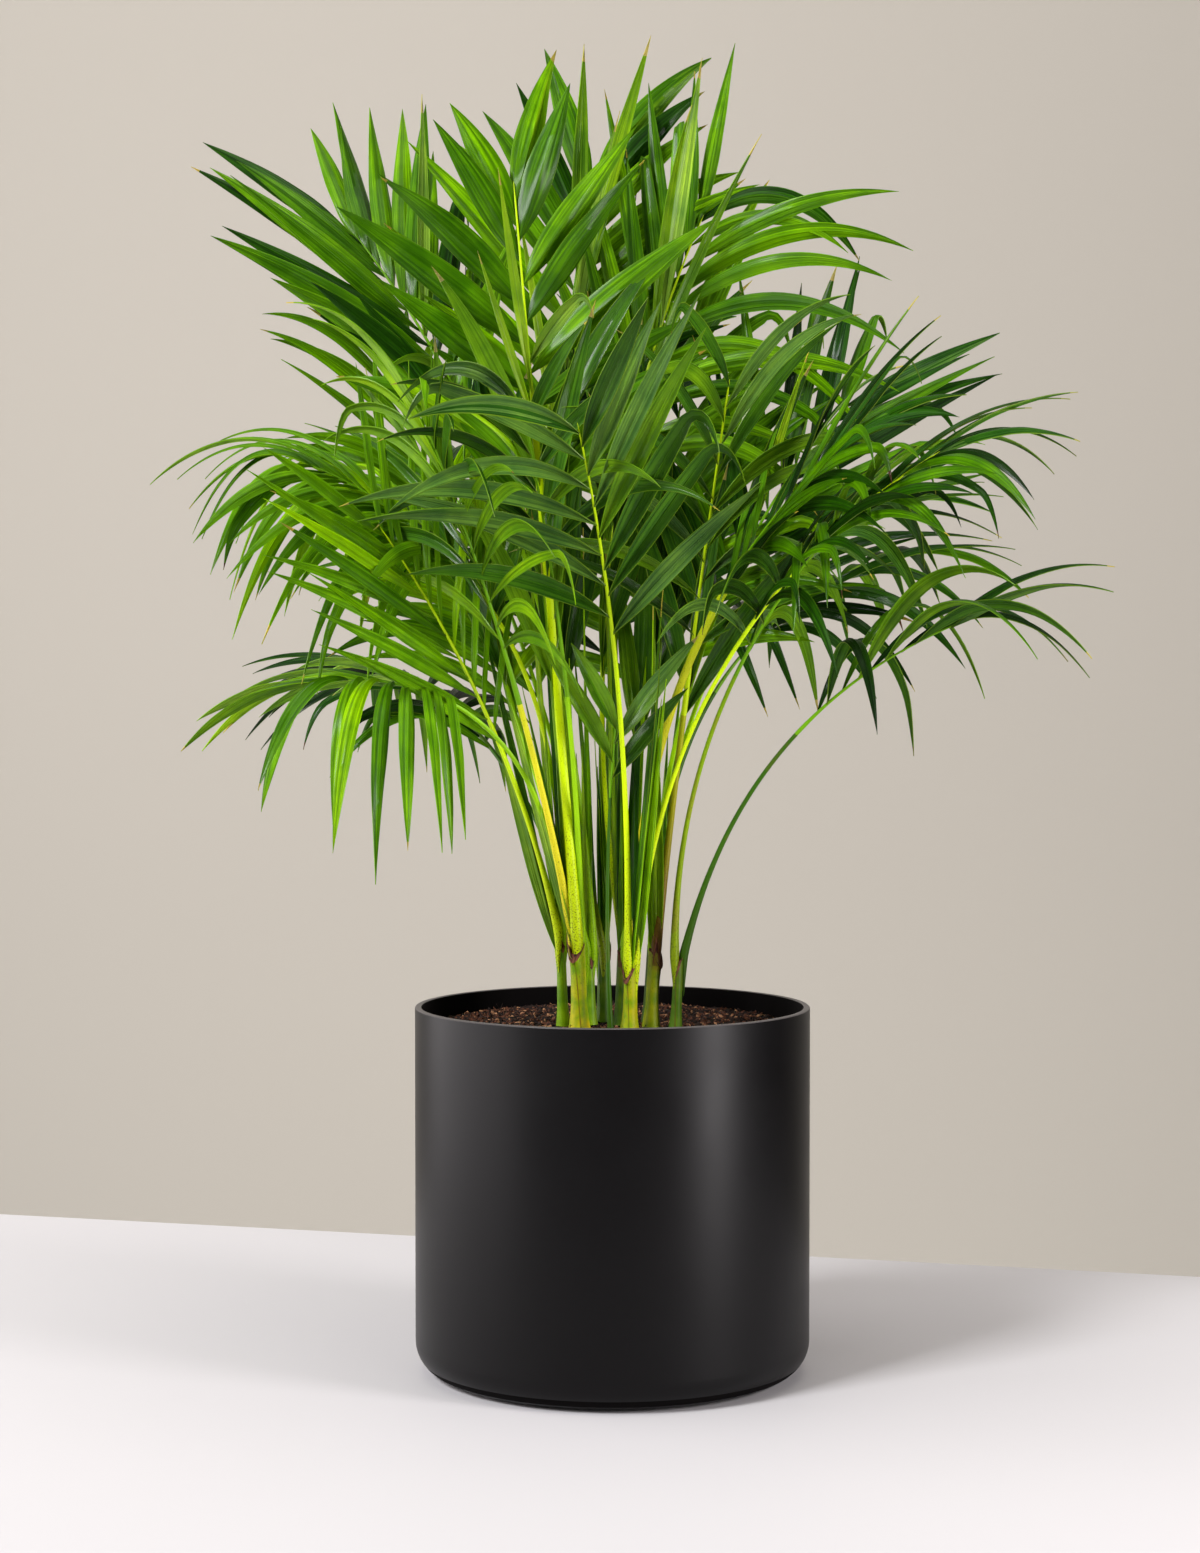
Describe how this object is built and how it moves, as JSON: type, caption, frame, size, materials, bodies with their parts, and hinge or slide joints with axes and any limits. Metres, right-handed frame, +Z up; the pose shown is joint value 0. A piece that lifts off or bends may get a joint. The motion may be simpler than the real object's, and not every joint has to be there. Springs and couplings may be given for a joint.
{
  "type": "potted areca palm",
  "caption": "Clump of feathery arching palm fronds on slender green stalks, in a plain matte black cylinder pot.",
  "frame": {"origin": "centre of the flat underside of the pot", "axes": "+Z up, +X to the right and -Y towards the viewer in the picture"},
  "size_m": [0.5313, 0.473, 0.7521],
  "materials": {
    "pot": "matte",
    "soil": "rough",
    "cane": "satin",
    "stalk": "satin",
    "leaf": "satin"
  },
  "bodies": {
    "root": {"pot": "pot", "soil": "soil", "cane_a": "cane", "cane_b": "cane", "cane_c": "cane", "cane_d": "cane", "cane_f": "cane", "cane_g": "cane", "cane_h": "cane", "cane_i": "cane", "cane_j": "cane", "stalk_01": "stalk", "stalk_02": "stalk", "stalk_03": "stalk", "stalk_04": "stalk", "stalk_05": "stalk", "stalk_06": "stalk", "stalk_07": "stalk", "stalk_08": "stalk", "stalk_09": "stalk", "stalk_10": "stalk", "stalk_11": "stalk", "stalk_12": "stalk", "stalk_13": "stalk", "stalk_14": "stalk", "stalk_15": "stalk", "stalk_16": "stalk", "stalk_17": "stalk", "stalk_18": "stalk", "stalk_19": "stalk", "stalk_20": "stalk", "stalk_21": "stalk", "stalk_22": "stalk", "stalk_23": "stalk", "stalk_24": "stalk", "frond_01": "leaf", "frond_02": "leaf", "frond_03": "leaf", "frond_04": "leaf", "frond_05": "leaf", "frond_06": "leaf", "frond_07": "leaf", "frond_08": "leaf", "frond_09": "leaf", "frond_10": "leaf", "frond_11": "leaf", "frond_12": "leaf", "frond_13": "leaf", "frond_14": "leaf", "frond_15": "leaf", "frond_16": "leaf", "frond_17": "leaf", "frond_18": "leaf", "frond_19": "leaf", "frond_20": "leaf", "frond_21": "leaf", "frond_22": "leaf", "frond_23": "leaf", "frond_24": "leaf"}
  },
  "joints": []
}
